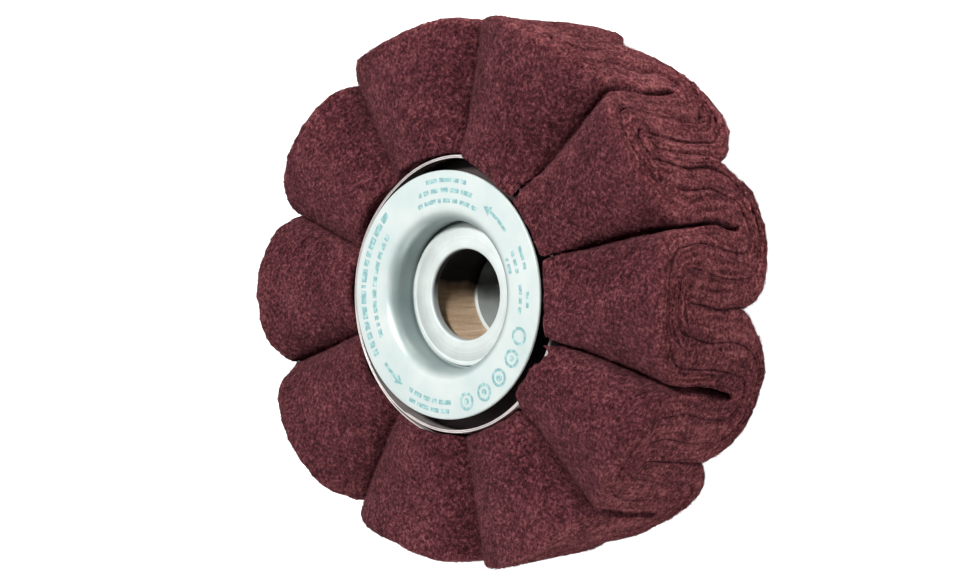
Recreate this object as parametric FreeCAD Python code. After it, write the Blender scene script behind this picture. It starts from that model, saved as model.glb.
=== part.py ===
import FreeCAD, Part
import math
import os

# A drum of pleated non-woven fleece on a pressed steel hub, in millimetres.
# The origin is the middle of the drum on its axis, and +Z runs along the axis to the printed face.

# Drum
drum_diameter = 150.0
fleece_width = 50.0
bore_diameter = 25.4

# Folds: each near fold is a rounded petal, and the far folds lie half a pitch round from them
fold_count = 10
first_crease_angle = -162.0
fold_drift = (0.0, 3.0, 2.0, 0.0, 2.0, 5.5, 4.0, 1.0, 0.5, -3.5)
ply_count = 3
fold_depth = 13.0
fold_roundness = 0.5
ply_gap_at_rim = 0.5
crease_gap_at_rim = 1.2
ply_gap_in_folds = 0.3

# Pressed flanges with a dished middle
flange_diameter = 68.6
flange_stand = 0.8
flange_sheet = 1.0
dish_diameter = 41.4
dish_shoulder = 2.4
dish_depth = 9.0

# Core between the flanges, and the rolled tube on it that the fleece is bonded to
tube_diameter = 78.0
tube_wall = 0.9
tube_set_back = 1.85

# Bushes
bush_flange_diameter = 40.0
bush_flange_sheet = 0.9
sleeve_wall = 1.2
front_collar_length = 2.5
rear_sleeve_length = 16.4

# Clearances
fit_clearance = 0.05
soft_clearance = 0.3

# How finely the folds are faceted
shown_fold_steps = 5
inner_fold_steps = 3

# Worked out from the sizes above
drum_radius = drum_diameter / 2
bore_radius = bore_diameter / 2
fleece_crown = fleece_width / 2
flange_face = fleece_crown + flange_stand
dish_floor = flange_face - dish_depth
core_half = dish_floor - flange_sheet
bush_face = dish_floor + bush_flange_sheet
sleeve_radius = bore_radius + sleeve_wall
core_bore_radius = sleeve_radius + fit_clearance
tube_radius = tube_diameter / 2
tube_bore_radius = tube_radius - tube_wall
tube_half = fleece_crown - tube_set_back
fleece_root_radius = tube_radius + soft_clearance
axis_foot = FreeCAD.Vector(0, 0, 0)
axis = FreeCAD.Vector(0, 0, 1)


def crease_angles():
    """Angles of the near creases round the axis, with the first one again at the end."""
    pitch = 360.0 / fold_count
    angles = []
    for number in range(fold_count):
        drift = fold_drift[number % len(fold_drift)]
        angles.append(first_crease_angle + pitch * number + drift)
    angles.append(angles[0] + 360.0)
    return angles


def rounded_rays(middle, leg, end, depth, lift, steps):
    """Rays of a fold's rounded end, from the fold's middle out to where a leg starts.

    A ray holds what a skin's line keeps all the way from the axis to the rim, as slopes:
    (across, end, depth, fall, lift), with end +1 for the near folds and -1 for the far ones.
    """
    rays = []
    for step in range(steps + 1):
        turn = math.pi / 2 * step / steps
        across = middle + (leg - middle) * math.sin(turn)
        fall = abs(leg - middle) * fold_roundness * (1 - math.cos(turn))
        rays.append((across, end, depth, fall, lift))
    return rays


def skin_rays(half_angle, interface, side):
    """Rays of one skin of a ply, from a near fold's middle to its leg and on to a far fold's middle.

    Interface 0 is the face that shows on the near folds, and the last one shows on the far folds.
    side is -1 for the ply under the interface and +1 for the ply over it.
    """
    half_pitch = math.tan(half_angle)
    shown = interface in (0, ply_count)
    lift = 0.0 if shown else side * ply_gap_in_folds / 2
    gap = (crease_gap_at_rim if shown else ply_gap_at_rim) / drum_radius
    leg = half_pitch * (1 - interface / ply_count) + side * gap / 2
    ply_depth = fold_depth / ply_count
    steps = {0: (shown_fold_steps, 1), ply_count: (1, shown_fold_steps)}
    near_steps, far_steps = steps.get(interface, (inner_fold_steps, inner_fold_steps))
    near = rounded_rays(0.0, leg, 1, interface * ply_depth, lift, near_steps)
    far = rounded_rays(half_pitch, leg, -1, (ply_count - interface) * ply_depth, lift, far_steps)
    return near, far[::-1]


def spread(rays, count):
    """As many rays as count, some of them repeated evenly along the list."""
    share = (len(rays) - 1) / (count - 1)
    return [rays[int(place * share + 0.5)] for place in range(count)]


def paired_rays(half_angle, ply):
    """The rays of a ply's two skins, side by side, from one far fold's middle to the next's."""
    upper_parts = skin_rays(half_angle, ply, -1)
    lower_parts = skin_rays(half_angle, ply + 1, 1)
    half = []
    for upper, lower in zip(upper_parts, lower_parts):
        count = max(len(upper), len(lower))
        half += zip(spread(upper, count), spread(lower, count))
    other_half = [((-up[0],) + up[1:], (-low[0],) + low[1:]) for up, low in half[:0:-1]]
    return other_half + half


def ray_point(ray, radius, turn):
    """Where a ray meets a radius, with the fold's middle turned to an angle."""
    across, end, depth, fall, lift = ray
    distance = radius / math.hypot(1, across)
    height = end * (fleece_crown - depth - fall * distance) + lift
    point = FreeCAD.Vector(distance, across * distance, height)
    return FreeCAD.Rotation(axis, turn) * point


def flat_face(points):
    return Part.Face(Part.makePolygon(points + points[:1]))


def patch(corners):
    """Flat faces over three or four corners; a twisted four is split along its shorter diagonal."""
    points = []
    for corner in corners:
        if all(corner.distanceToPoint(point) > 1e-7 for point in points):
            points.append(corner)
    if len(points) < 3:
        return []
    if len(points) == 3:
        return [flat_face(points)]
    normal = (points[1] - points[0]).cross(points[2] - points[0]).normalize()
    if abs(normal.dot(points[3] - points[0])) < 1e-6:
        return [flat_face(points)]
    if points[0].distanceToPoint(points[2]) <= points[1].distanceToPoint(points[3]):
        halves = (points[:3], [points[0], points[2], points[3]])
    else:
        halves = ([points[0], points[1], points[3]], points[1:])
    return [flat_face(half) for half in halves]


def fleece_strip(ply):
    """One pleated strip, a single solid all the way round, from the tube to the rim."""
    angles = crease_angles()
    faces = []
    for start, end in zip(angles, angles[1:]):
        pairs = paired_rays(math.radians(end - start) / 2, ply)
        middle = (start + end) / 2
        root = [[ray_point(ray, fleece_root_radius, middle) for ray in pair] for pair in pairs]
        rim = [[ray_point(ray, drum_radius, middle) for ray in pair] for pair in pairs]
        for here in range(len(pairs) - 1):
            after = here + 1
            for skin in (0, 1):
                faces += patch([root[here][skin], root[after][skin], rim[after][skin], rim[here][skin]])
            for ring in (root, rim):
                faces += patch([ring[here][0], ring[after][0], ring[after][1], ring[here][1]])
    solid = Part.Solid(Part.Shell(faces))
    return solid if solid.Volume > 0 else solid.reversed()


def turned(outline):
    """Solid of revolution about the axis from the (radius, height) corners of its half section."""
    corners = [FreeCAD.Vector(radius, 0, height) for radius, height in outline]
    return flat_face(corners).revolve(axis_foot, axis, 360).Solids[0]


def flange():
    """Dished flange of even sheet: floor, wall, bevelled shoulder and flat face."""
    inside = dish_diameter / 2
    outside = inside + flange_sheet
    edge = flange_diameter / 2
    bevel_step = flange_sheet * math.tan(math.radians(22.5))
    return turned([
        (core_bore_radius, dish_floor),
        (inside, dish_floor),
        (inside, flange_face - dish_shoulder),
        (inside + dish_shoulder, flange_face),
        (edge, flange_face),
        (edge, flange_face - flange_sheet),
        (inside + dish_shoulder + bevel_step, flange_face - flange_sheet),
        (outside, flange_face - dish_shoulder - bevel_step),
        (outside, dish_floor - flange_sheet),
        (core_bore_radius, dish_floor - flange_sheet),
    ])


def hub_tube():
    """Rolled tube round the core, a little narrower than the fleece."""
    return turned([
        (tube_bore_radius, -tube_half),
        (tube_bore_radius, tube_half),
        (tube_radius, tube_half),
        (tube_radius, -tube_half),
    ])


def flanged_bush(sleeve_length):
    """Turned bush: a flange on the dish's floor and a sleeve into the tube."""
    sleeve_end = bush_face - sleeve_length
    return turned([
        (bore_radius, sleeve_end),
        (bore_radius, bush_face),
        (bush_flange_diameter / 2, bush_face),
        (bush_flange_diameter / 2, dish_floor),
        (sleeve_radius, dish_floor),
        (sleeve_radius, sleeve_end),
    ])


def core():
    """Wound core that fills the tube between the flanges, with a bush's sleeve in each end."""
    outside = tube_bore_radius - fit_clearance
    return turned([
        (core_bore_radius, -core_half),
        (core_bore_radius, core_half),
        (outside, core_half),
        (outside, -core_half),
    ])


def rear(shape):
    """The same piece on the other side of the drum."""
    return shape.mirror(axis_foot, axis)


pieces = {
    "front_flange": flange(),
    "rear_flange": rear(flange()),
    "front_bush": flanged_bush(front_collar_length),
    "rear_bush": rear(flanged_bush(rear_sleeve_length)),
    "core": core(),
    "hub_tube": hub_tube(),
    "fleece_strip_front": fleece_strip(0),
    "fleece_strip_middle": fleece_strip(1),
    "fleece_strip_rear": fleece_strip(2),
}

os.makedirs("parts", exist_ok=True)
for name, shape in pieces.items():
    shape.exportStep(f"parts/{name}.step")
    print(name, len(shape.Solids), "solid", round(shape.Volume / 1000, 1), "cm3")
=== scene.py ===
import bpy
import math
import numpy as np
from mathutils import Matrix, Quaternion, Vector, noise


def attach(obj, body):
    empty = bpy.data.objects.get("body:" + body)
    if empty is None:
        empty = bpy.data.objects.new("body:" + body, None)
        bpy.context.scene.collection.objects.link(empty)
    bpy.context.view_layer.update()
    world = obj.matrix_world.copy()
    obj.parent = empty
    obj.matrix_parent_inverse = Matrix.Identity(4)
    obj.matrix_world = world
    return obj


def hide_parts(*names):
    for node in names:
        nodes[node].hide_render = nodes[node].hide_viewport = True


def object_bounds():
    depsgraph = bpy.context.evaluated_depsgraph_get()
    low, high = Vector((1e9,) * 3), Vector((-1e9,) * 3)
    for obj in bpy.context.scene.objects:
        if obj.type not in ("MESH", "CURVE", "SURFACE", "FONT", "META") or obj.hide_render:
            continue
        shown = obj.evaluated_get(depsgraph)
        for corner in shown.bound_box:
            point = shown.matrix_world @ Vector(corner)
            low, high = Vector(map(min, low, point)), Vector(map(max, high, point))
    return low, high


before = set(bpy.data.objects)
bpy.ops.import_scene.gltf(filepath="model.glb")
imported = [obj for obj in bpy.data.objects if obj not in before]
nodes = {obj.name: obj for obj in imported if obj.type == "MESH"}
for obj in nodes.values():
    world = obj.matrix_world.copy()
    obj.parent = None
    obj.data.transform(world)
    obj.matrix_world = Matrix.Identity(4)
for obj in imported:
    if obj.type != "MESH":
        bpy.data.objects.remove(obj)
cadLow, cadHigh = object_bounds()
mm = 0.001
print("frame loaded:", len(nodes), "nodes")


# Shader helpers

def newMaterial(name, **values):
    material = bpy.data.materials.new(name)
    material.use_nodes = True
    tree = material.node_tree
    tree.nodes.clear()
    output = tree.nodes.new("ShaderNodeOutputMaterial")
    shader = tree.nodes.new("ShaderNodeBsdfPrincipled")
    tree.links.new(shader.outputs["BSDF"], output.inputs["Surface"])
    for socket, value in values.items():
        shader.inputs[socket.replace("_", " ")].default_value = value
    return material, tree, shader


def addNode(tree, kind, links=None, **settings):
    node = tree.nodes.new(kind)
    for key, value in settings.items():
        setattr(node, key, value)
    for socket, source in (links or {}).items():
        if hasattr(source, "is_linked"):
            tree.links.new(source, node.inputs[socket])
        else:
            node.inputs[socket].default_value = source
    return node


def objectPlace(tree):
    return addNode(tree, "ShaderNodeTexCoord").outputs["Object"]


def noiseValue(tree, place, scale, detail=2.0, roughness=0.5):
    links = {"Vector": place, "Scale": scale, "Detail": detail, "Roughness": roughness}
    return addNode(tree, "ShaderNodeTexNoise", links).outputs["Fac"]


def remapped(tree, value, low, high, newLow=0.0, newHigh=1.0):
    links = {"Value": value, "From Min": low, "From Max": high, "To Min": newLow, "To Max": newHigh}
    return addNode(tree, "ShaderNodeMapRange", links).outputs["Result"]


def mathValue(tree, operation, first, second):
    return addNode(tree, "ShaderNodeMath", {0: first, 1: second}, operation=operation).outputs[0]


def ramp(tree, value, stops):
    node = addNode(tree, "ShaderNodeValToRGB", {"Fac": value})
    elements = node.color_ramp.elements
    while len(elements) < len(stops):
        elements.new(0.5)
    for element, (position, color) in zip(elements, stops):
        element.position = position
        element.color = (*color, 1.0)
    return node.outputs["Color"]


def mixedColor(tree, factor, first, second, blend="MIX"):
    node = addNode(tree, "ShaderNodeMix", data_type="RGBA", blend_type=blend)
    for socket, source in ((node.inputs[0], factor), (node.inputs[6], first), (node.inputs[7], second)):
        if hasattr(source, "is_linked"):
            tree.links.new(source, socket)
        elif isinstance(source, tuple):
            socket.default_value = (*source, 1.0)
        else:
            socket.default_value = source
    return node.outputs[2]


def vectorNode(tree, operation, *values):
    return addNode(tree, "ShaderNodeVectorMath", dict(enumerate(values)), operation=operation)


def axisDistance(tree, place):
    flat = vectorNode(tree, "MULTIPLY", place, (1.0, 1.0, 0.0)).outputs[0]
    return vectorNode(tree, "LENGTH", flat).outputs["Value"]


def bumped(tree, shader, height, distance, strength=1.0):
    node = addNode(tree, "ShaderNodeBump", {"Height": height, "Distance": distance, "Strength": strength})
    tree.links.new(node.outputs["Normal"], shader.inputs["Normal"])


def fibreWebGroup():
    # tangled fibres over dark pits, with broader clumps
    group = bpy.data.node_groups.new("fibreWeb", "ShaderNodeTree")
    for name, kind, value in (
        ("Place", "NodeSocketVector", None), ("Cell Scale", "NodeSocketFloat", 1900.0),
        ("Clump Scale", "NodeSocketFloat", 1050.0), ("Tangle", "NodeSocketFloat", 0.0005),
    ):
        socket = group.interface.new_socket(name, in_out="INPUT", socket_type=kind)
        if value is not None:
            socket.default_value = value
    group.interface.new_socket("Web", in_out="OUTPUT", socket_type="NodeSocketFloat")
    group.interface.new_socket("Clumps", in_out="OUTPUT", socket_type="NodeSocketFloat")
    given = group.nodes.new("NodeGroupInput")
    result = group.nodes.new("NodeGroupOutput")
    place = given.outputs["Place"]
    stir = addNode(group, "ShaderNodeTexNoise", {"Vector": place, "Scale": 900.0, "Detail": 1.0})
    centred = vectorNode(group, "SUBTRACT", stir.outputs["Color"], (0.5, 0.5, 0.5))
    scaled = vectorNode(group, "SCALE", centred.outputs[0])
    group.links.new(given.outputs["Tangle"], scaled.inputs["Scale"])
    moved = vectorNode(group, "ADD", place, scaled.outputs[0]).outputs[0]
    webs = []
    for factor, reach in ((1.0, 0.32), (2.1, 0.3)):
        cells = addNode(group, "ShaderNodeTexVoronoi", {"Vector": moved}, feature="DISTANCE_TO_EDGE")
        scale = mathValue(group, "MULTIPLY", given.outputs["Cell Scale"], factor)
        group.links.new(scale, cells.inputs["Scale"])
        webs.append(remapped(group, cells.outputs["Distance"], 0.0, reach, 1.0, 0.0))
    clumps = addNode(group, "ShaderNodeTexNoise", {"Vector": place, "Detail": 3.0})
    group.links.new(given.outputs["Clump Scale"], clumps.inputs["Scale"])
    fine = mathValue(group, "MULTIPLY", webs[1], 0.45)
    web = mathValue(group, "ADD", mathValue(group, "MULTIPLY", webs[0], 0.55), fine)
    group.links.new(web, result.inputs["Web"])
    group.links.new(clumps.outputs["Fac"], result.inputs["Clumps"])
    return group


# Materials

# painted shadow in the bore, and dark glue with painted shade on the tube's edge
shadeAndGlueSet = {
    "paintedShadow": (0.008, 0.006, 0.007),
    "paintedShadowSide": (0.0062, 0.0012),
    "paintedShadowPatch": 0.0010,
    "boreReach": (0.0145, 0.0141),
    "boreTop": (0.0172, 0.0166),
    "glueAndShade": (0.030, 0.016, 0.018),
    "glueAndShadeWay": (-0.7, 0.7, 0.0),
    "glueAndShadeReach": (0.0250, 0.0272),
}


def paintedBoreShadow(tree, place, color):
    # painted shadow on the side of the bore's wall that faces away from the key light, with a noisy edge
    split = addNode(tree, "ShaderNodeSeparateXYZ", {"Vector": place})
    patch = shadeAndGlueSet["paintedShadowPatch"]
    patchy = remapped(tree, noiseValue(tree, place, 110.0, 2.0), 0.3, 0.7, -patch, patch)
    paintedShadow = remapped(tree, mathValue(tree, "ADD", split.outputs["X"], patchy), *shadeAndGlueSet["paintedShadowSide"])
    inBore = remapped(tree, axisDistance(tree, place), *shadeAndGlueSet["boreReach"])
    under = remapped(tree, split.outputs["Z"], *shadeAndGlueSet["boreTop"])
    inBore = mathValue(tree, "MULTIPLY", inBore, under)
    return mixedColor(tree, mathValue(tree, "MULTIPLY", paintedShadow, inBore), color, shadeAndGlueSet["paintedShadow"])


def glueAndPaintedShade(tree, place, color):
    # darker along one side: partly glue, partly painted shade
    along = vectorNode(tree, "DOT_PRODUCT", place, shadeAndGlueSet["glueAndShadeWay"])
    glueAndShadeMask = remapped(tree, along.outputs["Value"], *shadeAndGlueSet["glueAndShadeReach"])
    return mixedColor(tree, glueAndShadeMask, color, shadeAndGlueSet["glueAndShade"])


fibreWeb = fibreWebGroup()


fleeceTones = {
    "pit": (0.0052, 0.0010, 0.0020),
    "body": (0.042, 0.0093, 0.0134),
    "fibre": (0.083, 0.0198, 0.0258),
    "tip": (0.186, 0.0610, 0.0690),
    # the cut edge is painted lighter: partly its lighter fibres, partly painted light
    "rimToneAndLight": (1.62, 1.70, 1.56),
    "sheen": (0.80, 0.36, 0.40, 1.0),
    "webDepth": 0.85,
    "clumpDepth": 0.37,
    # scale, detail and depth of the broad clouds
    "clouds": ((330.0, 2.0, 0.12), (70.0, 2.0, 0.11)),
    # a ply's thickness, and where the cut edge starts, in metres
    "plyThickness": 0.013 / 3,
    "cutEdge": (0.0690, 0.0715),
    "cutRound": 0.0007,
    "fibreEdge": (0.0725, 0.0748),
}


def fleeceMaterial(name, lift, streak):
    # lift raises the tone of the loose fibres over the web's, and streak is the depth of its layers
    material, tree, shader = newMaterial(name, Roughness=0.95, Specular_IOR_Level=0.06, Sheen_Weight=0.07,
                                         Sheen_Roughness=0.5, Sheen_Tint=fleeceTones["sheen"])
    place = objectPlace(tree)
    web = addNode(tree, "ShaderNodeGroup", node_tree=fibreWeb)
    tree.links.new(place, web.inputs["Place"])
    tone = mathValue(tree, "MULTIPLY", web.outputs["Web"], fleeceTones["webDepth"])
    for scale, detail, spread in fleeceTones["clouds"]:
        cloud = noiseValue(tree, place, scale, detail)
        tone = mathValue(tree, "ADD", tone, remapped(tree, cloud, 0.3, 0.7, -spread, spread))
    deep = fleeceTones["clumpDepth"]
    clumps = remapped(tree, web.outputs["Clumps"], 0.3, 0.7, lift - deep, lift + deep)
    tone = mathValue(tree, "ADD", tone, clumps)
    # the cut edge shows layers of the web as streaks along the ply, and it is painted lighter: partly its
    # lighter fibres, partly painted light
    layers = addNode(tree, "ShaderNodeUVMap", uv_map="web").outputs[0]
    if streak > 0:
        # the map runs from one skin of the ply to the other
        across = addNode(tree, "ShaderNodeSeparateXYZ", {"Vector": layers}).outputs["Y"]
        inside = mathValue(tree, "PINGPONG", across, fleeceTones["plyThickness"] / 2)
        cut = remapped(tree, axisDistance(tree, place), *fleeceTones["cutEdge"])
        rim = mathValue(tree, "MULTIPLY", cut, remapped(tree, inside, 0.0, fleeceTones["cutRound"]))
    else:
        rim = remapped(tree, axisDistance(tree, place), *fleeceTones["fibreEdge"])
    layers = addNode(tree, "ShaderNodeMapping", {"Vector": layers, "Scale": (0.07, 1.0, 1.0)}).outputs[0]
    streaks = noiseValue(tree, layers, 1150.0, 2.0)
    streaks = mathValue(tree, "MULTIPLY", rim, remapped(tree, streaks, 0.3, 0.7, -streak, streak))
    tone = mathValue(tree, "ADD", tone, streaks)
    color = ramp(tree, tone, [(0.0, fleeceTones["pit"]), (0.35, fleeceTones["body"]),
                              (0.62, fleeceTones["fibre"]), (1.0, fleeceTones["tip"])])
    lightenedRim = mixedColor(tree, 1.0, color, fleeceTones["rimToneAndLight"], "MULTIPLY")
    tree.links.new(mixedColor(tree, rim, color, lightenedRim), shader.inputs["Base Color"])
    height = mathValue(tree, "MULTIPLY", web.outputs["Web"], 0.5)
    height = mathValue(tree, "ADD", height, web.outputs["Clumps"])
    height = mathValue(tree, "ADD", height, mathValue(tree, "MULTIPLY", streaks, 4.0))
    bumped(tree, shader, height, 0.0007, 0.8)
    return material


fleeceFinish = fleeceMaterial("fleece", 0.0, 0.16)
fibreFinish = fleeceMaterial("fleeceFibres", 0.06, 0.0)


def lacquerMaterial():
    # white lacquer on the flat face, bare plating in the dish
    material, tree, shader = newMaterial("flangeLacquer", Specular_IOR_Level=0.5)
    place = objectPlace(tree)
    cloud = noiseValue(tree, place, 90.0, 3.0)
    bare = remapped(tree, axisDistance(tree, place), 0.0236, 0.0214)
    white = ramp(tree, cloud, [(0.3, (0.302, 0.363, 0.36)), (0.7, (0.380, 0.420, 0.415))])
    plated = ramp(tree, cloud, [(0.3, (0.18, 0.235, 0.235)), (0.7, (0.24, 0.295, 0.29))])
    tree.links.new(mixedColor(tree, bare, white, plated), shader.inputs["Base Color"])
    tree.links.new(mathValue(tree, "MULTIPLY", bare, 0.3), shader.inputs["Metallic"])
    duller = mathValue(tree, "MULTIPLY", bare, 0.12)
    rough = mathValue(tree, "ADD", remapped(tree, cloud, 0.3, 0.7, 0.30, 0.42), duller)
    tree.links.new(rough, shader.inputs["Roughness"])
    bumped(tree, shader, noiseValue(tree, place, 1400.0, 2.0), 0.00002, 0.6)
    return material


def metalMaterial(name, dark, light, roughness, rings, metallic, paintedShading):
    # rings are turning marks round the axis, in lines for each metre of radius
    material, tree, shader = newMaterial(name, Metallic=metallic, Roughness=roughness)
    place = objectPlace(tree)
    radius = axisDistance(tree, place)
    lines = addNode(tree, "ShaderNodeTexNoise", {"W": radius, "Scale": rings, "Detail": 3.0},
                    noise_dimensions="1D")
    stain = noiseValue(tree, place, 160.0, 4.0, 0.6)
    tone = mathValue(tree, "ADD", mathValue(tree, "MULTIPLY", lines.outputs["Fac"], 0.45),
                     mathValue(tree, "MULTIPLY", stain, 0.55))
    # one side is darkened by painted shading: a painted shadow in the bush's bore, glue with painted shade
    # on the tube
    color = paintedShading(tree, place, ramp(tree, tone, [(0.3, dark), (0.65, light)]))
    tree.links.new(color, shader.inputs["Base Color"])
    rough = remapped(tree, stain, 0.3, 0.7, roughness - 0.06, roughness + 0.1)
    tree.links.new(rough, shader.inputs["Roughness"])
    bumped(tree, shader, lines.outputs["Fac"], 0.00003, 0.5)
    return material


def boardMaterial():
    # wound board: thin layers round the axis, with light streaks along the bore's wall
    material, tree, shader = newMaterial("coreBoard", Roughness=0.85, Specular_IOR_Level=0.2)
    place = objectPlace(tree)
    stretched = addNode(tree, "ShaderNodeMapping", {"Vector": place, "Scale": (1.0, 1.0, 0.08)}).outputs[0]
    streaks = noiseValue(tree, stretched, 900.0, 3.0, 0.6)
    speckle = noiseValue(tree, place, 1500.0, 2.0)
    tone = mathValue(tree, "ADD", mathValue(tree, "MULTIPLY", streaks, 0.7),
                     mathValue(tree, "MULTIPLY", speckle, 0.3))
    color = ramp(tree, tone, [(0.3, (0.36, 0.24, 0.155)), (0.5, (0.50, 0.36, 0.24)),
                              (0.7, (0.64, 0.49, 0.36))])
    # its end faces are dark away from the bore: partly glue, partly painted shade in the groove between
    # flange and tube. The bore's wall gets a painted shadow on one side
    endGlueAndShade = remapped(tree, axisDistance(tree, place), 0.0145, 0.0165)
    color = paintedBoreShadow(tree, place, mixedColor(tree, endGlueAndShade, color, (0.040, 0.030, 0.030)))
    tree.links.new(color, shader.inputs["Base Color"])
    bumped(tree, shader, tone, 0.0002, 0.6)
    return material


def printMaterial():
    # thin ink: the lacquer shows through where it is worn
    material, tree, shader = newMaterial("printedMarks", Roughness=0.45)
    place = objectPlace(tree)
    worn = noiseValue(tree, place, 700.0, 3.0, 0.6)
    color = ramp(tree, worn, [(0.44, printSet["ink"]), (0.66, printSet["faded"])])
    tree.links.new(color, shader.inputs["Base Color"])
    return material


printSet = {
    "ink": (0.12, 0.24, 0.25),
    "faded": (0.28, 0.42, 0.42),
    "thickness": 0.03,
    # radius, start and end angle, number of bars and their width
    "lines": (
        (31.6, -116.0, -36.0, 13, 1.9), (27.4, -108.0, -43.0, 10, 1.5),
        (31.9, -175.0, -146.0, 4, 1.2), (29.1, -181.0, -139.0, 6, 1.3), (26.2, -187.0, -136.0, 7, 1.2),
        (30.4, 123.0, 137.0, 2, 1.1), (27.4, 122.0, 137.0, 3, 1.1), (24.9, 123.0, 135.0, 2, 1.1),
        (27.8, 99.0, 117.0, 3, 1.1), (30.4, 103.0, 113.0, 2, 1.0),
        (29.9, -8.5, 24.5, 5, 1.3), (32.4, -6.0, 23.0, 4, 1.2),
    ),
    "rings": ((29.4, 88.0), (29.9, 75.0), (30.0, 61.5), (30.3, 48.5), (30.4, 35.0)),
    "ringRadii": (1.75, 2.6),
    "dots": (0.0, 0.8, 1.1, 0.9, 0.9),
    "arrows": ((28.4, 148.0, 164.0), (30.3, -30.0, -18.5)),
    "arrowWidth": 0.95,
    "arrowHead": (2.9, 3.0),
}
lacquerFinish = lacquerMaterial()
# the bush's bore gets the painted shadow on one side
bushFinish = metalMaterial("bushSteel", (0.35, 0.39, 0.39), (0.46, 0.50, 0.49), 0.56, 2600.0, 0.2, paintedBoreShadow)
# the tube is darker on one side: partly glue, partly painted shade
tubeFinish = metalMaterial("tubeSteel", (0.30, 0.275, 0.27), (0.58, 0.53, 0.52), 0.4, 900.0, 0.6, glueAndPaintedShade)
boardFinish = boardMaterial()
inkFinish = printMaterial()
print("materials made")


# Mesh helpers

def plainMesh(name, points, faces, finish, smooth=True):
    mesh = bpy.data.meshes.new(name)
    mesh.from_pydata(points, [], faces)
    mesh.materials.append(finish)
    mesh.polygons.foreach_set("use_smooth", [smooth] * len(mesh.polygons))
    mesh.update()
    piece = bpy.data.objects.new(name, mesh)
    bpy.context.scene.collection.objects.link(piece)
    return piece


def gridFaces(rows, columns, closedRows, closedColumns):
    # quads over a grid of points numbered row by row
    row = np.arange(rows if closedRows else rows - 1)
    column = np.arange(columns if closedColumns else columns - 1)
    here, side = np.meshgrid(row, column, indexing="ij")
    after, beside = (here + 1) % rows, (side + 1) % columns
    quads = np.stack([here * columns + side, after * columns + side,
                      after * columns + beside, here * columns + beside], axis=-1)
    return quads.reshape(-1, 4)


def outwardFaces(points, faces):
    corners = points[faces]
    volume = np.einsum("ij,ij->i", corners[:, 0], np.cross(corners[:, 1], corners[:, 2])).sum()
    return faces if volume > 0 else faces[:, ::-1]


# Fleece: three plies pleated together, in millimetres

fleece = {
    "rimRadius": 75.7,
    "rootRadius": 39.3,
    "crown": 25.0,
    "firstCrease": -162.0,
    "drift": (0.0, 3.0, 2.0, 0.0, 2.0, 5.5, 4.0, 1.0, 0.5, -3.5),
    "plies": 3,
    "plyDepths": (0.0, 3.4, 8.0, 13.0),
    "legShift": (0.02, -0.06, 0.04, -0.03, 0.05, -0.07, -0.02, 0.04, -0.13, -0.05),
    "roundness": 0.56,
    # gap at the rim of each near crease, and of the far crease after it
    "nearGaps": (0.7, 0.6, 0.6, 0.1, 0.6, 1.0, 2.4, 2.6, 1.4, 2.0),
    "farGaps": (0.25, 0.25, 0.25, 0.25, 0.25, 0.25, 0.25, 0.08, 0.25, 0.4),
    "plyGap": 0.02,
    "foldGap": 0.05,
    "rimRound": (2.4, 1.7),
    "rootRound": 1.2,
    # angle, reach over the tube's edge and how much the folds are squeezed up to it
    "noses": ((52, 0, 0), (57, 2.8, 0.7), (66, 3.3, 0.9), (75, 3.2, 0.8), (79, 2.8, 0.6), (81.5, 1.5, 0.3),
              (86, 1.5, 0.3), (88.5, 2.8, 0.9), (97, 3.6, 1), (126, 3.7, 1.1), (150, 4.2, 1.1),
              (168, 4.1, 1.1), (177, 3.4, 1), (185, 2.2, 0.9), (194, 1.1, 0.7), (208, 0.3, 0.5),
              (225, 0, 0.3), (250, 0, 0)),
    "noseDepth": 9.0,
    "twist": -3.8,
    "creaseDips": (1.7, 0.8),
    "creaseDipWidth": 4.2,
    # angle, and how much the seams between the plies show there
    "seams": ((-165, 0.8), (-100, 0.6), (-40, 0.35), (10, 0.15), (60, 0.15), (98, 0.2), (120, 0.75),
              (150, 1.0), (185, 0.9)),
    # angle, and how far the near and the far side of the rim swell there
    "swells": ((-163, 2.6, 1.0), (-155, 1.6, 1.0), (-146, 0.1, 0.5), (-139, 0.2, 0.5), (-128, 2.3, 0.3),
               (-110, -0.5, 0), (-88, -0.6, 0), (-71, 1.4, 0), (-35, 0.8, 0), (-21, 1.2, -0.4),
               (4, -2.3, -0.8), (23, 0.6, -1.0), (36, 1.1, -1.4), (52, 0, -1.4), (75, 0, 0.2),
               (98, 0, 0.8), (122, 0, -0.8), (142, 0.3, 0.2), (178, 2.0, 1.6)),
    "strands": 3.2,
    "strandDepth": 0.5,
    "plyReach": 0.5,
    "legSteps": 30,
    # steps round a fold: on a shown skin, inside the nest, and on the hidden side of a shown ply
    "foldSteps": (22, 14, 8),
    "shownRows": 34,
    "hiddenRows": 9,
    "rimRows": 9,
    "wander": 0.9,
    "legWave": 0.9,
    # heights, and where they go at the folds' inner ends
    "squeeze": ((6.0, 15.5, 20.0, 25.0), (6.0, 23.2, 24.1, 25.3)),
    "tubeEdge": 23.1,
    "lumps": 0.35,
}


def creaseAngles():
    pitch = 2 * math.pi / len(fleece["drift"])
    first = math.radians(fleece["firstCrease"])
    drifts = enumerate(fleece["drift"])
    angles = [first + pitch * number + math.radians(drift) for number, drift in drifts]
    return angles + [angles[0] + 2 * math.pi]


def ripple(angle, height, radius, seed):
    # smooth wander that closes on itself round the drum, about -1 to 1
    total = 0.0
    waves = (5, 0.05, 1.0), (9, 0.10, 0.8), (14, -0.08, 0.6), (22, 0.16, 0.5), (37, -0.24, 0.35)
    for turns, rise, share in waves:
        total = total + share * np.sin(turns * angle + rise * height + 0.03 * radius + seed * turns)
    return total / 2.2


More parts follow.
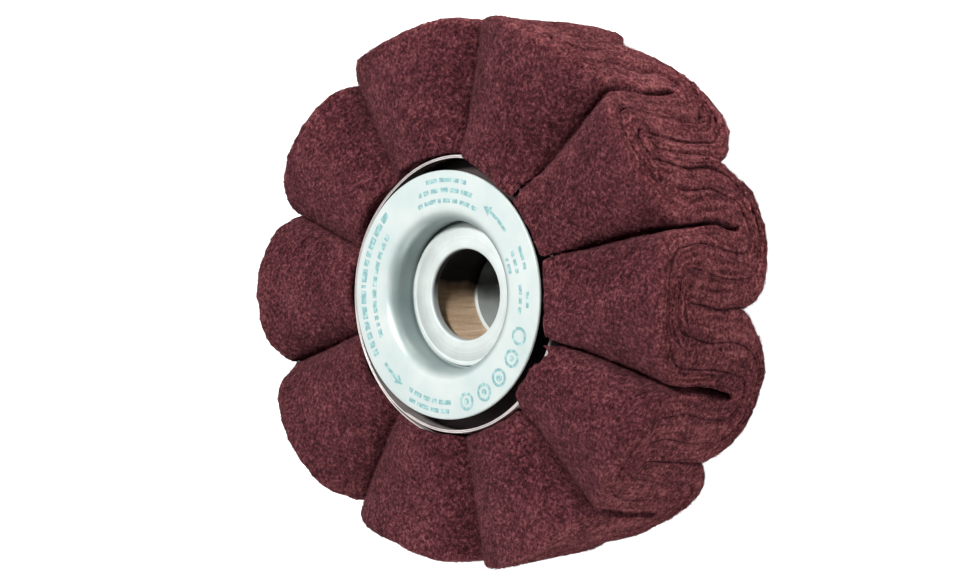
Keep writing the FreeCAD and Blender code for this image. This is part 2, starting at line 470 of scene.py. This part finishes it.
def skinLine(halfAngle, interface, side, nearSteps, farSteps, legShift, gaps):
    # across, base height and slope with radius of one skin, from a near fold's middle to a far one's
    halfPitch = math.tan(halfAngle)
    shown = interface in (0, fleece["plies"])
    gap = gaps[min(interface, 1)] if shown else fleece["plyGap"]
    lift = 0.0 if shown else side * fleece["foldGap"] / 2
    share = 1 - interface / fleece["plies"] + (0.0 if shown else legShift)
    leg = halfPitch * share + side * gap / fleece["rimRadius"] / 2
    near = np.linspace(0, math.pi / 2, nearSteps + 1)
    far = np.linspace(math.pi / 2, 0, farSteps + 1)
    nearFall = abs(leg) * fleece["roundness"]
    farFall = abs(halfPitch - leg) * fleece["roundness"]
    nearTop = fleece["crown"] - fleece["plyDepths"][interface] + lift
    farTop = -fleece["crown"] + fleece["plyDepths"][fleece["plies"] - interface] + lift
    share = np.linspace(0, 1, fleece["legSteps"] + 1)[1:-1]
    across = np.concatenate([leg * np.sin(near), np.full(len(share), leg),
                             halfPitch + (leg - halfPitch) * np.sin(far)])
    base = np.concatenate([np.full(len(near), nearTop), nearTop + (farTop - nearTop) * share,
                           np.full(len(far), farTop)])
    slope = np.concatenate([-nearFall * (1 - np.cos(near)), -nearFall + (farFall + nearFall) * share,
                            farFall * (1 - np.cos(far))])
    return across, base, slope


def plyLines(ply):
    # both skins of a ply all the way round: angle of the fold's middle, across, base and slope
    steps = fleece["foldSteps"]
    nearSteps, farSteps = (steps[0], steps[2]) if ply == 0 else (steps[1], steps[1])
    if ply == fleece["plies"] - 1:
        nearSteps, farSteps = steps[2], steps[0]
    angles = creaseAngles()
    skins = []
    for interface, side in ((ply, -1), (ply + 1, 1)):
        rows = []
        for place, (start, end, shift) in enumerate(zip(angles, angles[1:], fleece["legShift"])):
            halves = []
            for crease in (place, (place + 1) % len(fleece["nearGaps"])):
                gaps = fleece["nearGaps"][crease], fleece["farGaps"][place]
                across, base, slope = skinLine((end - start) / 2, interface, side, nearSteps, farSteps,
                                               shift, gaps)
                halves.append((np.full(len(across), (start + end) / 2), across, base, slope))
            (middle, across, base, slope), after = halves
            rising = np.stack([middle, -across, base, slope], axis=1)[:0:-1]
            falling = np.stack(after, axis=1)[:-1]
            rows += [rising, falling]
        skins.append(np.concatenate(rows))
    nearShare = []
    for _ in range(len(angles) - 1):
        legs = np.linspace(1, 0, fleece["legSteps"] + 1)[1:-1]
        near = np.concatenate([np.ones(nearSteps + 1), legs, np.zeros(farSteps + 1)])
        nearShare += [near[:0:-1], near[:-1]]
    return skins[0], skins[1], np.concatenate(nearShare)


def sectionLoop(upperRows, lowerRows, upperRound, lowerRound, rimThickness, rootThickness):
    # radius and depth into the ply, from the upper skin's root over the rim and back under to the root
    rim, root = fleece["rimRadius"], fleece["rootRadius"]
    upperRound = np.minimum(upperRound, 0.46 * rimThickness)
    lowerRound = np.minimum(lowerRound, 0.46 * rimThickness)
    rootRound = np.minimum(fleece["rootRound"], 0.4 * rootThickness)
    corner = np.radians((22.5, 45.0, 67.5, 90.0))
    rootCorner = np.radians((0.0, 30.0, 60.0))
    start = root + rootRound
    loop = []
    for turn in rootCorner:
        depth = rootRound * (1 - np.sin(turn)) / rootThickness
        loop.append((root + rootRound * (1 - np.cos(turn)), depth))
    for share in np.linspace(0, 1, upperRows):
        loop.append((start + (rim - upperRound - start) * share, 0.0))
    for turn in corner:
        depth = upperRound * (1 - np.cos(turn)) / rimThickness
        loop.append((rim - upperRound * (1 - np.sin(turn)), depth))
    flat = rimThickness - upperRound - lowerRound
    for share in np.linspace(0, 1, fleece["rimRows"] + 2)[1:-1]:
        loop.append((rim, (upperRound + flat * share) / rimThickness))
    for turn in corner[::-1]:
        depth = 1 - lowerRound * (1 - np.cos(turn)) / rimThickness
        loop.append((rim - lowerRound * (1 - np.sin(turn)), depth))
    for share in np.linspace(1, 0, lowerRows):
        loop.append((start + (rim - lowerRound - start) * share, 1.0))
    for turn in rootCorner[::-1]:
        depth = 1 - rootRound * (1 - np.sin(turn)) / rootThickness
        loop.append((root + rootRound * (1 - np.cos(turn)), depth))
    count = len(rimThickness)
    radii = np.stack([np.broadcast_to(radius, count) for radius, _ in loop], axis=1)
    depths = np.stack([np.broadcast_to(depth, count) for _, depth in loop], axis=1)
    return radii, depths


def skinDistance(upper, lower, radius):
    # how far apart a ply's two skins are at a radius
    aside = (upper[:, 1] - lower[:, 1]) * radius
    down = (upper[:, 2] + upper[:, 3] * radius) - (lower[:, 2] + lower[:, 3] * radius)
    return np.maximum(np.hypot(aside, down), 0.5)


def plyPoints(ply):
    upper, lower, nearShare = plyLines(ply)
    last = fleece["plies"] - 1
    big, small = fleece["rimRound"]
    middle = upper[:, 0]
    seam = around(fleece["seams"], middle, 1)
    uneven = ripple(middle * 3.0 + upper[:, 1] * 40.0, 0.0, 0.0, 1.3 + ply)
    uneven = small * np.clip(0.85 + 0.8 * uneven, 0.15, 2) * seam
    upperRound = uneven + (big - small) * (nearShare if ply == 0 else 0.0)
    lowerRound = uneven + (big - small) * ((1 - nearShare) if ply == last else 0.0)
    upperRows = fleece["shownRows"] if ply == 0 else fleece["hiddenRows"]
    lowerRows = fleece["shownRows"] if ply == last else fleece["hiddenRows"]
    radius, depth = sectionLoop(upperRows, lowerRows, upperRound, lowerRound,
                                skinDistance(upper, lower, fleece["rimRadius"]),
                                skinDistance(upper, lower, fleece["rootRadius"]))
    across = upper[:, 1:2] * (1 - depth) + lower[:, 1:2] * depth
    base = upper[:, 2:3] * (1 - depth) + lower[:, 2:3] * depth
    slope = upper[:, 3:4] * (1 - depth) + lower[:, 3:4] * depth
    turn = np.arctan(across)
    angle, height = middle[:, None] + turn, base + slope * radius * np.cos(turn)
    # the cut edge is uneven, with fine strands along the ply
    cut = np.clip(radius - fleece["rimRadius"] + 1.4, 0, 1.4) / 1.4
    seam = seam[:, None]
    uneven = fleece["plyReach"] * seam * ripple(angle + 0.8 * ply, height * 0.7, 0.0, 1.9 + 2.3 * ply)
    phase = 2 * math.pi * fleece["strands"] * depth + 2.2 * ripple(angle, height, 0.0, 4.1 + ply)
    strength = np.clip(0.55 + 0.8 * ripple(angle * 2, height * 1.4, 0.0, 6.7 + ply), 0, 1.3)
    strands = fleece["strandDepth"] * strength * (0.25 + 0.75 * seam) * np.cos(phase)
    return radius + cut * (uneven + strands), angle, height, depth


def around(table, angle, column):
    # a table's value at an angle, joined up round the drum
    places = [row[0] for row in table]
    return np.interp(np.degrees(angle), places, [row[column] for row in table], period=360)


def rimSwell(angle, height):
    # the rim bulges in some places, and is drawn in beside the creases that show on each side
    creases = np.array(creaseAngles())
    far = np.clip(0.5 - height / (2 * fleece["crown"]), 0, 1)
    swells = fleece["swells"]
    total = around(swells, angle, 1) * (1 - far) + around(swells, angle, 2) * far
    sides = ((creases[:-1], 1), ((creases[1:] + creases[:-1]) / 2, -1))
    for (places, way), deep in zip(sides, fleece["creaseDips"]):
        shown = np.clip((way * height + 8) / 26, 0, 1)
        for place in places:
            apart = np.degrees((angle - place + math.pi) % (2 * math.pi) - math.pi)
            total = total - deep * shown * np.exp(-(apart / fleece["creaseDipWidth"]) ** 2)
    return total


def wandered(radius, angle, height):
    # the same wander for all plies, so that they stay nested
    rim, root = fleece["rimRadius"], fleece["rootRadius"]
    crown, size = fleece["crown"], fleece["wander"]
    reach = np.clip((radius - root) / (rim - root), 0, 1)
    far = np.clip((crown - height) / (2 * crown), 0, 1)
    shift = size * reach * ripple(angle, height, radius, 0.7) / radius
    shift = shift + math.radians(fleece["twist"]) * reach * far ** 1.5
    wave = np.sin(0.26 * height + 9 * angle + 1.4 * ripple(angle, height, 0.0, 8.2))
    wave = wave * (0.4 + 0.6 * around(fleece["seams"], angle, 1))
    shift = shift + fleece["legWave"] * reach ** 2 * wave / radius
    edge = np.clip(1 - np.abs(height) / crown, 0, 1) ** 0.5
    rise = 0.5 * size * reach * ripple(angle, height * 0.5, radius, 2.9) * (0.35 + 0.65 * edge)
    outward = 0.4 * size * reach * ripple(angle, height, radius, 5.3)
    outward = outward + rimSwell(angle, height) * reach ** 2
    # some petals bulge over the tube's edge
    inner = np.clip((root + fleece["noseDepth"] - radius) / fleece["noseDepth"], 0, 1) ** 1.5
    squeezed = np.interp(height, *fleece["squeeze"])
    lifted = height + (squeezed - height) * inner * around(fleece["noses"], angle, 2)
    over = inner * around(fleece["noses"], angle, 1) * np.clip((lifted - fleece["tubeEdge"]) / 0.7, 0, 1)
    return radius + outward - over, angle + shift, lifted + rise


def lumpy(points, rows, columns, strength):
    # moves points along their normals by a lumpy noise
    grid = points.reshape(rows, columns, 3)
    along = np.roll(grid, -1, axis=0) - np.roll(grid, 1, axis=0)
    across = np.roll(grid, -1, axis=1) - np.roll(grid, 1, axis=1)
    normal = np.cross(along, across)
    normal /= np.maximum(np.linalg.norm(normal, axis=2, keepdims=True), 1e-9)
    flat = grid.reshape(-1, 3)
    coarse = np.array([noise.noise(Vector(point)) for point in flat * 0.32])
    fine = np.array([noise.noise(Vector(point)) for point in flat * 0.85 + 40.0])
    lift = (coarse * 0.65 + fine * 0.5) * strength
    return flat + normal.reshape(-1, 3) * lift[:, None]


def layerMap(piece, grid, depth, faces):
    # a UV map in metres: along the ply, and across its thickness
    rows, columns = depth.shape
    middle = grid[:, (columns + fleece["rimRows"]) // 2]
    steps = np.linalg.norm(np.roll(middle, -1, axis=0) - middle, axis=1)
    along = np.concatenate([[0], np.cumsum(steps)])
    row, column = faces // columns, faces % columns
    row = np.where((row == 0) & (np.ptp(row, axis=1, keepdims=True) > 1), rows, row)
    thickness = fleece["plyDepths"][-1] / fleece["plies"]
    places = np.stack([along[row] * mm, depth[faces // columns, column] * thickness * mm], axis=-1)
    piece.data.uv_layers.new(name="web").uv.foreach_set("vector", places.reshape(-1).astype(np.float32))


def flatLength(grid):
    # the strip's length before it was folded, as the mean of its two skins halfway out
    rows, columns, _ = grid.shape
    length = 0.0
    for column in (columns // 4, columns - columns // 4):
        line = grid[:, column]
        length += np.linalg.norm(np.roll(line, -1, axis=0) - line, axis=1).sum() / 2
    return length


def fleecePly(ply, name):
    radius, angle, height, depth = plyPoints(ply)
    rows, columns = radius.shape
    radius, angle, height = wandered(radius, angle, height)
    points = np.stack([radius * np.cos(angle), radius * np.sin(angle), height], axis=-1).reshape(-1, 3)
    points = lumpy(points, rows, columns, fleece["lumps"])
    faces = outwardFaces(points, gridFaces(rows, columns, True, True))
    piece = plainMesh(name, (points * mm).tolist(), faces.tolist(), fleeceFinish)
    layerMap(piece, points.reshape(rows, columns, 3), depth, faces)
    length = flatLength(points.reshape(rows, columns, 3))
    return piece, points, faces, length


plyNames = ("fleece_strip_front", "fleece_strip_middle", "fleece_strip_rear")
plies = []
for number, node in enumerate(plyNames):
    plies.append(fleecePly(number, node + "_web"))
    print(node, "made:", len(plies[-1][2]) * 2, "triangles")


# Loose fibres on the fleece: bristles scattered by geometry nodes

fibres = {
    "length": 1.5,
    "thickness": 0.12,
    "bow": 0.25,
    "tilt": 0.4,
    "counts": (26000, 32000, 24000),
}


def fibreShape():
    # a bent spindle, pointed at both ends
    half, thick, bow = fibres["length"] / 2 * mm, fibres["thickness"] / 2 * mm, fibres["bow"] * mm
    points = [(-half, 0, 0), (0, thick, bow), (0, -thick, bow), (0, 0, bow + 1.6 * thick),
              (half, 0.0, 0.3 * bow)]
    faces = [(0, 2, 1), (0, 3, 2), (0, 1, 3), (4, 1, 2), (4, 2, 3), (4, 3, 1)]
    return plainMesh("fibreShape", points, faces, fibreFinish)


def scatterTree():
    tree = bpy.data.node_groups.new("scatterFibres", "GeometryNodeTree")
    face = tree.interface
    face.new_socket("Geometry", in_out="INPUT", socket_type="NodeSocketGeometry")
    face.new_socket("Fibre", in_out="INPUT", socket_type="NodeSocketObject")
    face.new_socket("Density", in_out="INPUT", socket_type="NodeSocketFloat")
    face.new_socket("Tilt", in_out="INPUT", socket_type="NodeSocketFloat")
    face.new_socket("Seed", in_out="INPUT", socket_type="NodeSocketInt")
    face.new_socket("Finish", in_out="INPUT", socket_type="NodeSocketMaterial")
    face.new_socket("Geometry", in_out="OUTPUT", socket_type="NodeSocketGeometry")
    given = tree.nodes.new("NodeGroupInput")
    result = tree.nodes.new("NodeGroupOutput")
    points = addNode(tree, "GeometryNodeDistributePointsOnFaces", {
        "Mesh": given.outputs["Geometry"], "Density": given.outputs["Density"],
        "Seed": given.outputs["Seed"]})
    info = addNode(tree, "GeometryNodeObjectInfo", {"Object": given.outputs["Fibre"]})
    leanLow = mathValue(tree, "MULTIPLY", given.outputs["Tilt"], -1.0)
    turns = []
    for number, (low, high) in enumerate(((leanLow, given.outputs["Tilt"]), (-math.pi, math.pi))):
        value = addNode(tree, "FunctionNodeRandomValue", data_type="FLOAT")
        for socket, source in ((value.inputs[2], low), (value.inputs[3], high)):
            if hasattr(source, "is_linked"):
                tree.links.new(source, socket)
            else:
                socket.default_value = source
        value.inputs["Seed"].default_value = 11 + number
        turns.append(value.outputs[1])
    euler = addNode(tree, "ShaderNodeCombineXYZ", {"Y": turns[0], "Z": turns[1]}).outputs[0]
    spin = addNode(tree, "FunctionNodeEulerToRotation", {"Euler": euler}).outputs[0]
    aligned = addNode(tree, "FunctionNodeRotateRotation", {
        "Rotation": points.outputs["Rotation"], "Rotate By": spin}, rotation_space="LOCAL").outputs[0]
    size = addNode(tree, "FunctionNodeRandomValue", data_type="FLOAT")
    size.inputs[2].default_value, size.inputs[3].default_value = 0.5, 1.25
    size.inputs["Seed"].default_value = 17
    instances = addNode(tree, "GeometryNodeInstanceOnPoints", {
        "Points": points.outputs["Points"], "Instance": info.outputs["Geometry"],
        "Rotation": aligned, "Scale": size.outputs[1]})
    real = addNode(tree, "GeometryNodeRealizeInstances", {"Geometry": instances.outputs["Instances"]})
    finished = addNode(tree, "GeometryNodeSetMaterial", {"Geometry": real.outputs[0],
                                                         "Material": given.outputs["Finish"]})
    tree.links.new(finished.outputs[0], result.inputs["Geometry"])
    return tree


def patchArea(points, faces):
    corners = points[faces]
    doubled = np.cross(corners[:, 2] - corners[:, 0], corners[:, 3] - corners[:, 1])
    return np.linalg.norm(doubled, axis=1).sum() / 2


def scattered(name, patches, count, fibre, tree, seed):
    # patches are (points, faces) in millimetres, and the fibres are spread evenly over them
    points = np.concatenate([patch[0] for patch in patches])
    starts = np.cumsum([0] + [len(patch[0]) for patch in patches[:-1]])
    faces = np.concatenate([patch[1] + start for patch, start in zip(patches, starts)])
    density = count / (patchArea(points, faces) * mm * mm)
    base = plainMesh(name + "Base", (points * mm).tolist(), faces.tolist(), fibreFinish)
    modifier = base.modifiers.new("scatter", "NODES")
    modifier.node_group = tree
    given = {"Fibre": fibre, "Density": density, "Tilt": fibres["tilt"], "Seed": seed,
             "Finish": fibreFinish}
    for socket in tree.interface.items_tree:
        if socket.in_out == "INPUT" and socket.name in given:
            modifier[socket.identifier] = given[socket.name]
    bpy.context.view_layer.update()
    evaluated = base.evaluated_get(bpy.context.evaluated_depsgraph_get())
    mesh = bpy.data.meshes.new_from_object(evaluated)
    mesh.name = name
    piece = bpy.data.objects.new(name, mesh)
    bpy.context.scene.collection.objects.link(piece)
    base.modifiers.remove(modifier)
    bpy.data.objects.remove(base)
    print(name, "scattered:", len(mesh.polygons), "triangles")
    return piece


def shownFaces(ply, test):
    # the faces of a ply whose middle passes a test on radius and height, seen from outside
    _, points, faces, _ = plies[ply]
    middle = points[faces].mean(axis=1)
    corners = points[faces]
    normal = np.cross(corners[:, 2] - corners[:, 0], corners[:, 3] - corners[:, 1])
    normal /= np.maximum(np.linalg.norm(normal, axis=1, keepdims=True), 1e-12)
    radius = np.hypot(middle[:, 0], middle[:, 1])
    outward = (normal[:, 0] * middle[:, 0] + normal[:, 1] * middle[:, 1]) / radius
    return points, faces[test(radius, middle[:, 2], outward, normal[:, 2])]


def onFront(radius, height, outward, upward):
    return (upward > 0.25) & (height > 9) & ((radius > 39.5) | (height > 23.6))


def onRear(radius, height, outward, upward):
    return (upward < -0.25) & (height < -9) & (radius > 39.5)


def onRim(radius, height, outward, upward):
    return (outward > 0.45) & (radius > 72)


fibre = fibreShape()
scatter = scatterTree()
fuzz = {
    "front_fibres": ([shownFaces(0, onFront)], 3),
    "rim_fibres": ([shownFaces(ply, onRim) for ply in range(fleece["plies"])], 5),
    "rear_fibres": ([shownFaces(fleece["plies"] - 1, onRear)], 8),
}
fuzzPieces = {name: scattered(name, patches, count, fibre, scatter, seed)
              for (name, (patches, seed)), count in zip(fuzz.items(), fibres["counts"])}
bpy.data.objects.remove(fibre)


# Hub pieces turned about the axis, in millimetres

def softened(corners, steps=5):
    # a closed outline from (radius, height, rounding) corners
    outline = []
    for number, (radius, height, rounding) in enumerate(corners):
        here = Vector((radius, height))
        if rounding == 0:
            outline.append(here)
            continue
        before, after = Vector(corners[number - 1][:2]), Vector(corners[(number + 1) % len(corners)][:2])
        start = here + (before - here).normalized() * rounding
        end = here + (after - here).normalized() * rounding
        for share in np.linspace(0, 1, steps + 1):
            outline.append(start * (1 - share) ** 2 + here * 2 * share * (1 - share) + end * share ** 2)
    return np.array(outline)


def turnedPiece(name, corners, finish, steps=180):
    outline = softened(corners)
    angle = np.linspace(0, 2 * math.pi, steps, endpoint=False)[:, None]
    points = np.stack([outline[:, 0] * np.cos(angle), outline[:, 0] * np.sin(angle),
                       np.broadcast_to(outline[:, 1], (steps, len(outline)))], axis=-1).reshape(-1, 3)
    faces = outwardFaces(points, gridFaces(steps, len(outline), True, True))
    return plainMesh(name, (points * mm).tolist(), faces.tolist(), finish)


def mirrored(corners):
    return [(radius, -height, rounding) for radius, height, rounding in corners]


flange = {
    "edgeRadius": 34.65,
    "face": 25.8,
    "sheet": 1.0,
    "dishRadius": 20.7,
    "floor": 16.8,
    "shoulder": 2.4,
    "hole": 13.95,
    "pressRound": 1.6,
    "edgeRound": 0.45,
}


def flangeCorners():
    face, floor, sheet = flange["face"], flange["floor"], flange["sheet"]
    inside, edge, hole = flange["dishRadius"], flange["edgeRadius"], flange["hole"]
    shoulder, soft, step = flange["shoulder"], flange["pressRound"], sheet * math.tan(math.radians(22.5))
    outside, bend = inside + sheet, inside + shoulder
    return [
        (hole, floor, 0.1), (inside, floor, 0.5), (inside, face - shoulder, soft),
        (bend, face, soft * 1.05), (edge, face, flange["edgeRound"]), (edge, face - sheet, 0.3),
        (bend + step, face - sheet, soft * 0.8), (outside, face - shoulder - step, soft * 0.8),
        (outside, floor - sheet, 0.8), (hole, floor - sheet, 0.1),
    ]


bush = {
    "boreRadius": 12.7,
    "flangeRadius": 20.0,
    "face": 17.7,
    "seat": 16.8,
    "sleeveRadius": 13.9,
    "lipRound": 0.8,
    "edgeRound": 0.42,
    "lineRadius": 18.7,
    "lineDepth": 0.16,
    "frontLength": 2.5,
    "rearLength": 16.4,
}


def bushCorners(length):
    bore, face, seat, line = bush["boreRadius"], bush["face"], bush["seat"], bush["lineRadius"]
    end, deep = face - length, bush["lineDepth"]
    return [
        (bore, end, 0.15), (bore, face, bush["lipRound"]), (line - 0.2, face, 0), (line, face - deep, 0),
        (line + 0.2, face, 0), (bush["flangeRadius"], face, bush["edgeRound"]),
        (bush["flangeRadius"], seat, 0.15), (bush["sleeveRadius"], seat, 0),
        (bush["sleeveRadius"], end, 0.15),
    ]


tube = {
    "innerRadius": 38.13,
    "sheet": 0.4,
    "halfWidth": 23.15,
    "seamAngle": 10.0,
    "turns": 2.05,
    "rollGrowth": 0.44,
    "springAngle": 44.0,
    "spring": 1.15,
    "edgeRound": 0.12,
    # angle, and how far the front edge leans in there
    "leans": ((-180, 0.3), (-162, 0.3), (-141, 1.2), (-125, 1.9), (-110, 1.9), (-97, 1.7), (-49, 1.3),
              (-32, 1.1), (-18, 0.8), (10, 0.5), (60, 0.5), (120, 0.4)),
    "leanFrom": 16.5,
}


def rolledTube():
    # a sheet rolled up with its free end sprung a little out
    total = math.radians(360 * tube["turns"])
    stations = 260
    along = np.linspace(0, total, stations)
    angle = math.radians(tube["seamAngle"]) - total + along
    sprung = np.clip((along - total) / math.radians(tube["springAngle"]) + 1, 0, 1) ** 2
    radius = tube["innerRadius"] + tube["rollGrowth"] * along / (2 * math.pi) + tube["spring"] * sprung
    half, sheet, soft = tube["halfWidth"], tube["sheet"], tube["edgeRound"]
    foot = tube["leanFrom"]
    sides = softened([(0, -half, soft), (sheet, -half, soft), (sheet, foot, 1.5), (sheet, half, soft),
                      (0, half, soft), (0, foot, 1.5)], 3)
    lean = around(tube["leans"], angle, 1)
    rise = np.clip((sides[:, 1] - foot) / (half - foot), 0, 1)
    out = radius[:, None] + sides[:, 0] - lean[:, None] * rise
    points = np.stack([out * np.cos(angle)[:, None], out * np.sin(angle)[:, None],
                       np.broadcast_to(sides[:, 1], out.shape)], axis=-1).reshape(-1, 3)
    faces = outwardFaces(points, gridFaces(stations, len(sides), False, True)).tolist()
    first = list(range(len(sides)))
    last = [(stations - 1) * len(sides) + number for number in first]
    piece = plainMesh("hub_tube_roll", (points * mm).tolist(), faces + [first, last[::-1]], tubeFinish)
    return piece


hub = {
    "front_flange": turnedPiece("front_flange_pressing", flangeCorners(), lacquerFinish),
    "rear_flange": turnedPiece("rear_flange_pressing", mirrored(flangeCorners()), lacquerFinish),
    "front_bush": turnedPiece("front_bush_turning", bushCorners(bush["frontLength"]), bushFinish),
    "rear_bush": turnedPiece("rear_bush_turning", mirrored(bushCorners(bush["rearLength"])), bushFinish),
    "hub_tube": rolledTube(),
}
print("hub pieces made:", len(hub))


# Printed marks on the front flange

def arcBar(inner, outer, start, end):
    # a thin bar bent round the axis; angles in degrees
    steps = max(2, int(abs(end - start) / 1.5) + 1)
    low, high = flange["face"] - 0.01, flange["face"] + printSet["thickness"]
    points, faces = [], []
    for angle in np.radians(np.linspace(start, end, steps)):
        for radius, height in ((inner, low), (outer, low), (outer, high), (inner, high)):
            points.append((radius * math.cos(angle), radius * math.sin(angle), height))
    for step in range(steps - 1):
        for side in range(4):
            here, beside = step * 4 + side, step * 4 + (side + 1) % 4
            faces.append((here, beside, beside + 4, here + 4))
    faces += [(3, 2, 1, 0), tuple(range((steps - 1) * 4, steps * 4))]
    return points, faces


def flatShape(outline, holes=()):
    # a thin plate from an outline, with an inner outline of as many points if it is a ring
    low, high = flange["face"] - 0.01, flange["face"] + printSet["thickness"]
    count = len(outline)
    if len(holes):
        points = [(*spot, height) for line in (outline, holes) for height in (low, high) for spot in line]
        faces = []
        for here in range(count):
            after = (here + 1) % count
            faces += [(here, after, count + after, count + here),
                      (count + here, count + after, 3 * count + after, 3 * count + here),
                      (3 * count + here, 3 * count + after, 2 * count + after, 2 * count + here),
                      (2 * count + here, 2 * count + after, after, here)]
        return points, faces
    points = [(*spot, height) for height in (low, high) for spot in outline]
    faces = [tuple(reversed(range(count))), tuple(range(count, 2 * count))]
    for here in range(count):
        after = (here + 1) % count
        faces.append((here, after, count + after, count + here))
    return points, faces


def ringShapes(radius, angle, dot):
    # a plain ring, most of them with a dot in the middle
    inner, outer = printSet["ringRadii"]
    turn = math.radians(angle)
    centre = (radius * math.cos(turn), radius * math.sin(turn))
    spin = np.linspace(0, 2 * math.pi, 28, endpoint=False)
    lines = [[(centre[0] + size * math.cos(a), centre[1] + size * math.sin(a)) for a in spin]
             for size in (outer, inner, dot)]
    shapes = [flatShape(lines[0], lines[1])]
    if dot > 0:
        shapes.append(flatShape(lines[2]))
    return shapes


def arrowShapes(radius, start, end):
    # a curved shaft with a pointed head at its end
    half = printSet["arrowWidth"] / 2
    headHalf, headLength = printSet["arrowHead"][0] / 2, printSet["arrowHead"][1]
    turn = math.radians(end)
    tip = turn + math.copysign(headLength / radius, end - start)
    head = [((radius - headHalf) * math.cos(turn), (radius - headHalf) * math.sin(turn)),
            ((radius + headHalf) * math.cos(turn), (radius + headHalf) * math.sin(turn)),
            (radius * math.cos(tip), radius * math.sin(tip))]
    return [arcBar(radius - half, radius + half, start, end), flatShape(head)]


def printedMarks():
    chance = np.random.default_rng(7)
    shapes = []
    for radius, start, end, bars, width in printSet["lines"]:
        shares = chance.uniform(0.5, 1.5, bars)
        edges = start + (end - start) * np.concatenate([[0], np.cumsum(shares) / shares.sum()])
        gap = math.degrees(0.8 / radius)
        for low, high in zip(edges, edges[1:]):
            shapes.append(arcBar(radius - width / 2, radius + width / 2, low + gap / 2, high - gap / 2))
    for place, dot in zip(printSet["rings"], printSet["dots"]):
        shapes += ringShapes(*place, dot)
    for arrow in printSet["arrows"]:
        shapes += arrowShapes(*arrow)
    points, faces = [], []
    for shapePoints, shapeFaces in shapes:
        start = len(points)
        points += shapePoints
        faces += [tuple(corner + start for corner in face) for face in shapeFaces]
    piece = plainMesh("printed_marks", (np.array(points) * mm).tolist(), faces, inkFinish, False)
    print("printed marks made:", len(shapes))
    return piece


marks = printedMarks()


# Stage and camera

studio = {
    # azimuth, elevation, distance, size, power and colour
    "keyLight": (180.0, 66.0, 1.4, 0.2, 35.5, (1.0, 0.98, 0.96)),
    "cardLight": (-78.0, 45.0, 1.2, 0.8, 4.5, (0.97, 0.99, 1.0)),
    "topLight": (178.0, 6.0, 1.2, 0.3, 8.5, (1.0, 0.90, 0.84)),
    "sideLight": (102.0, 1.0, 1.2, 0.3, 3.0, (1.0, 0.95, 0.92)),
    "lowLight": (34.0, 5.0, 1.2, 1.1, 20.0, (1.0, 0.95, 0.92)),
    "worldStrength": 0.05,
    "floorColor": (0.78, 0.78, 0.78, 1.0),
    "floorGlow": 1.0,
    "floorSize": 3.0,
}
view = {
    "place": (-0.2303, 0.5878, 0.7064),
    "target": (0.00135, -0.0034, 0.0033),
    "roll": -91.14,
    "lens": 122.87,
}


def softLight(name, azimuth, elevation, distance, size, power, color):
    data = bpy.data.lights.new(name, "AREA")
    data.shape = "DISK"
    data.size = size
    data.energy = power
    data.color = color
    light = bpy.data.objects.new(name, data)
    turn, rise = math.radians(azimuth), math.radians(elevation)
    away = Vector((math.cos(turn) * math.cos(rise), math.sin(turn) * math.cos(rise), math.sin(rise)))
    light.location = away * distance
    light.rotation_mode = "QUATERNION"
    light.rotation_quaternion = away.to_track_quat("Z", "Y")
    bpy.context.scene.collection.objects.link(light)


for name in ("keyLight", "cardLight", "topLight", "sideLight", "lowLight"):
    softLight(name, *studio[name])
world = bpy.data.worlds.new("studioWorld")
world.use_nodes = True
world.node_tree.nodes["Background"].inputs["Color"].default_value = (1.0, 1.0, 1.0, 1.0)
world.node_tree.nodes["Background"].inputs["Strength"].default_value = studio["worldStrength"]
bpy.context.scene.world = world

floorFinish, floorTree, floorShader = newMaterial("paleFloor", Base_Color=studio["floorColor"],
                                                  Roughness=0.9)
floorShader.inputs["Emission Color"].default_value = (1.0, 1.0, 1.0, 1.0)
rays = floorTree.nodes.new("ShaderNodeLightPath")
glow = mathValue(floorTree, "MULTIPLY", rays.outputs["Is Camera Ray"], studio["floorGlow"])
floorTree.links.new(glow, floorShader.inputs["Emission Strength"])
floorSize, floorHeight = studio["floorSize"], cadLow.z
floorCorners = [(floorSize * x, floorSize * y, floorHeight) for x, y in ((-1, -1), (1, -1), (1, 1), (-1, 1))]
floor = plainMesh("floor", floorCorners, [(0, 1, 2, 3)], floorFinish, False)

cameraData = bpy.data.cameras.new("camera")
cameraData.lens = view["lens"]
cameraData.clip_end = 20.0
camera = bpy.data.objects.new("camera", cameraData)
camera.location = view["place"]
camera.rotation_mode = "QUATERNION"
gaze = Vector(view["target"]) - Vector(view["place"])
roll = Quaternion((0, 0, 1), math.radians(view["roll"]))
camera.rotation_quaternion = gaze.to_track_quat("-Z", "Y") @ roll
bpy.context.scene.collection.objects.link(camera)
bpy.context.scene.camera = camera
bpy.context.scene.view_settings.view_transform = "Standard"

for (piece, points, faces, length), node, loose in zip(plies, plyNames, fuzzPieces.values()):
    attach(piece, "root")
    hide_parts(node)
for node, piece in hub.items():
    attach(piece, "root")
    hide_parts(node)
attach(marks, "root")
for piece in fuzzPieces.values():
    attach(piece, "root")
nodes["core"].data.materials.clear()
nodes["core"].data.materials.append(boardFinish)
